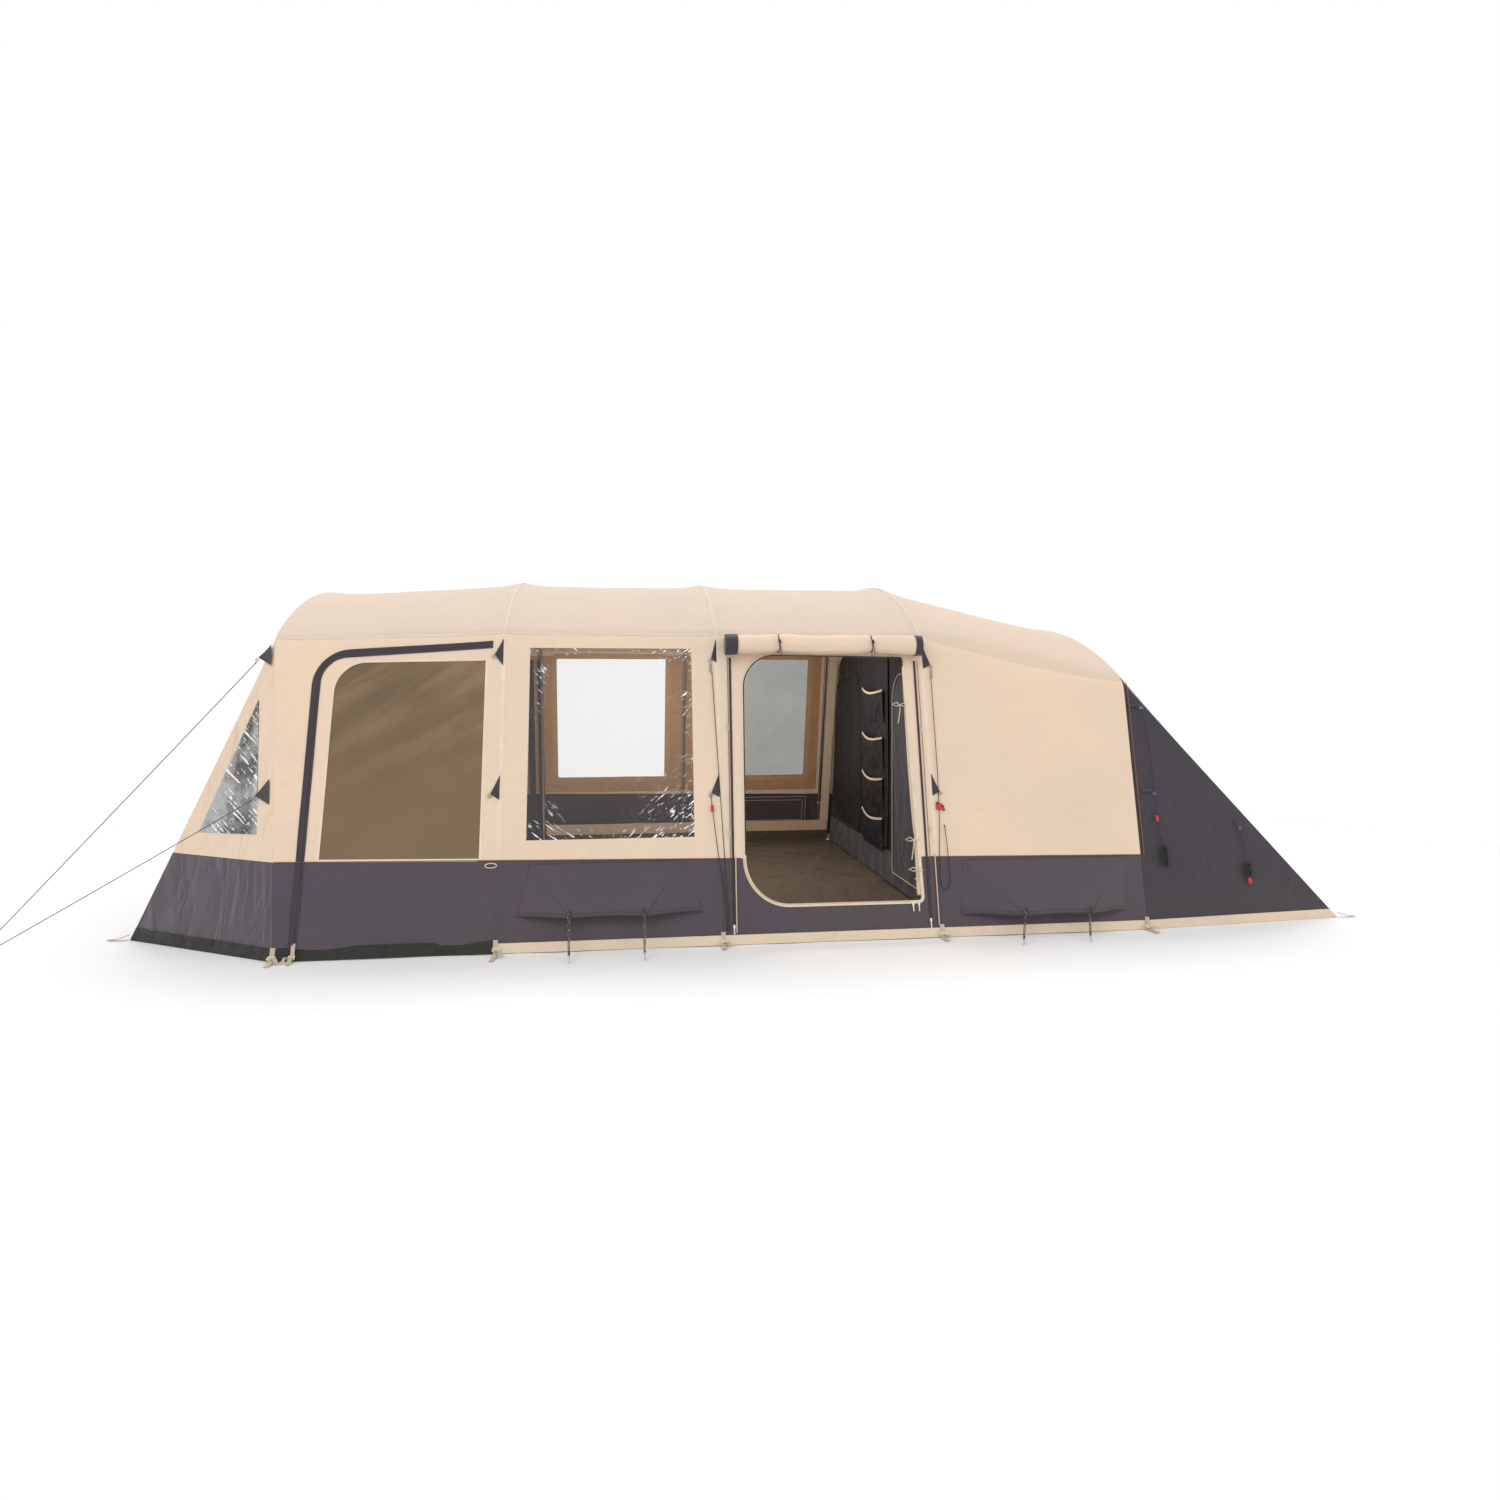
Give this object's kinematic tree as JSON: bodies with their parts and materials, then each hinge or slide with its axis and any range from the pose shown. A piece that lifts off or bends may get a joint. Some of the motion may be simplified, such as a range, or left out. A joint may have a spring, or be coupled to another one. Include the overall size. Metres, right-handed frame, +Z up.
{
  "type": "tunnel tent",
  "caption": "Tunnel tent on metal hoops with a sloping front, clear side windows, a zipped side door, vent flaps, guy ropes and a sleeping cabin.",
  "frame": {"origin": "on the ground under the middle of the tent, cords left out", "axes": "+X from the sloping front end to the rear, -Y out of the side door, +Z up"},
  "size_m": [7.6515, 3.8019, 2.1083],
  "materials": {
    "roof_cloth": "woven polycotton",
    "wall_cloth": "woven polycotton",
    "band_cloth": "coated polyester",
    "mesh_cloth": "fine mesh",
    "window_film": "clear film",
    "pole_metal": "drawn tube",
    "foot_rubber": "matte",
    "skirt_cream": "coated cloth",
    "skirt_dark": "coated cloth",
    "groundsheet": "woven tarpaulin",
    "cabin_cloth": "soft polyester",
    "webbing": "narrow woven webbing",
    "patch_cloth": "coated polyester",
    "ring_metal": "plated wire",
    "zip_plastic": "coil zip",
    "zip_pull": "moulded",
    "runner_red": "moulded",
    "rope": "braided",
    "bungee": "braided elastic",
    "peg_metal": "wire"
  },
  "bodies": {
    "shell": {"roof_1": "roof_cloth", "roof_2": "roof_cloth", "roof_3": "roof_cloth", "roof_4": "roof_cloth", "wall_near_1": "wall_cloth", "wall_near_2": "wall_cloth", "wall_near_3": "wall_cloth", "wall_near_4": "wall_cloth", "walls_far": "wall_cloth", "front_end": "wall_cloth", "band_door": "band_cloth", "band_walls": "band_cloth", "front_band": "band_cloth", "rear_end": "band_cloth", "front_skirt": "skirt_dark", "mud_skirt": "skirt_cream", "mesh_screen": "mesh_cloth", "windows_far": "window_film", "windows_near": "window_film", "arch_zip_cover": "patch_cloth", "cover_zips": "zip_plastic", "door_cover_roll": "wall_cloth", "door_cover_roll_ends": "patch_cloth", "door_leaf_roll": "wall_cloth", "guy_patches": "patch_cloth", "guy_rings": "ring_metal", "guy_hoop3_upper": "rope", "guy_hoop3_lower": "rope", "guy_hoop4": "rope", "guy_rear_upper": "rope", "guy_rear_lower": "rope", "guy_front_upper": "rope", "guy_front_lower": "rope", "hank_rear_upper": "rope", "hank_rear_lower": "rope", "runner_rear_lower": "runner_red", "foot_straps": "webbing", "groundsheet": "groundsheet", "bedroom_cabin": "cabin_cloth", "bedroom_front": "cabin_cloth", "hoop_1": "pole_metal", "hoop_2": "pole_metal", "hoop_3": "pole_metal", "hoop_4": "pole_metal", "hoop_5": "pole_metal", "pole_feet": "foot_rubber"},
    "vent_flap_2": {"vent_flap_2": "band_cloth"},
    "vent_cords_2": {"bungee_2_1": "bungee", "bungee_2_2": "bungee", "vent_pegs_2": "peg_metal"},
    "vent_flap_4": {"vent_flap_4": "band_cloth"},
    "vent_cords_4": {"bungee_4_1": "bungee", "bungee_4_2": "bungee", "vent_pegs_4": "peg_metal"},
    "cover_zip_left": {"cover_zip_left": "zip_pull"},
    "cover_zip_right": {"cover_zip_right": "zip_pull"},
    "door_zip": {"door_zip": "zip_pull"},
    "runner_hoop3": {"runner_hoop3": "runner_red"},
    "runner_hoop4": {"runner_hoop4": "runner_red"},
    "runner_rear_upper": {"runner_rear_upper": "runner_red"}
  },
  "joints": [
    {"name": "vent_flap_2_hinge", "type": "hinge", "parent": "shell", "child": "vent_flap_2", "pos_m": [0, -1.60329, 0.4416], "axis": [-1, 0, 0], "range_deg": [0, 45]},
    {"name": "vent_cords_2_hinge", "type": "hinge", "parent": "vent_flap_2", "child": "vent_cords_2", "pos_m": [0, -1.71807, 0.20164], "axis": [1, 0, 0], "range_deg": [0, 45]},
    {"name": "vent_flap_4_hinge", "type": "hinge", "parent": "shell", "child": "vent_flap_4", "pos_m": [0, -1.61176, 0.4056], "axis": [-1, 0, 0], "range_deg": [0, 45]},
    {"name": "vent_cords_4_hinge", "type": "hinge", "parent": "vent_flap_4", "child": "vent_cords_4", "pos_m": [0, -1.73848, 0.14031], "axis": [1, 0, 0], "range_deg": [0, 45]},
    {"name": "cover_zip_left_slide", "type": "slide", "parent": "shell", "child": "cover_zip_left", "axis": [0.0104, 0.229, 0.9734], "range_m": [0, 1.36]},
    {"name": "cover_zip_right_slide", "type": "slide", "parent": "shell", "child": "cover_zip_right", "axis": [0.0072, 0.229, 0.9734], "range_m": [0, 1.36]},
    {"name": "door_zip_slide", "type": "slide", "parent": "shell", "child": "door_zip", "axis": [-1, 0, 0], "range_m": [0, 0.6]},
    {"name": "runner_hoop3_slide", "type": "slide", "parent": "shell", "child": "runner_hoop3", "axis": [-0.0974, 0.228, 0.9688], "range_m": [-0.2, 0.04]},
    {"name": "runner_hoop4_slide", "type": "slide", "parent": "shell", "child": "runner_hoop4", "axis": [0.0365, 0.2289, 0.9728], "range_m": [-0.02, 0.04]},
    {"name": "runner_rear_upper_slide", "type": "slide", "parent": "shell", "child": "runner_rear_upper", "axis": [0.0354, 0.2298, 0.9726], "range_m": [0, 0.11]}
  ],
  "couplings": [
    {"joint": "vent_cords_2_hinge", "follows": "vent_flap_2_hinge", "ratio": 1},
    {"joint": "vent_cords_4_hinge", "follows": "vent_flap_4_hinge", "ratio": 1}
  ]
}
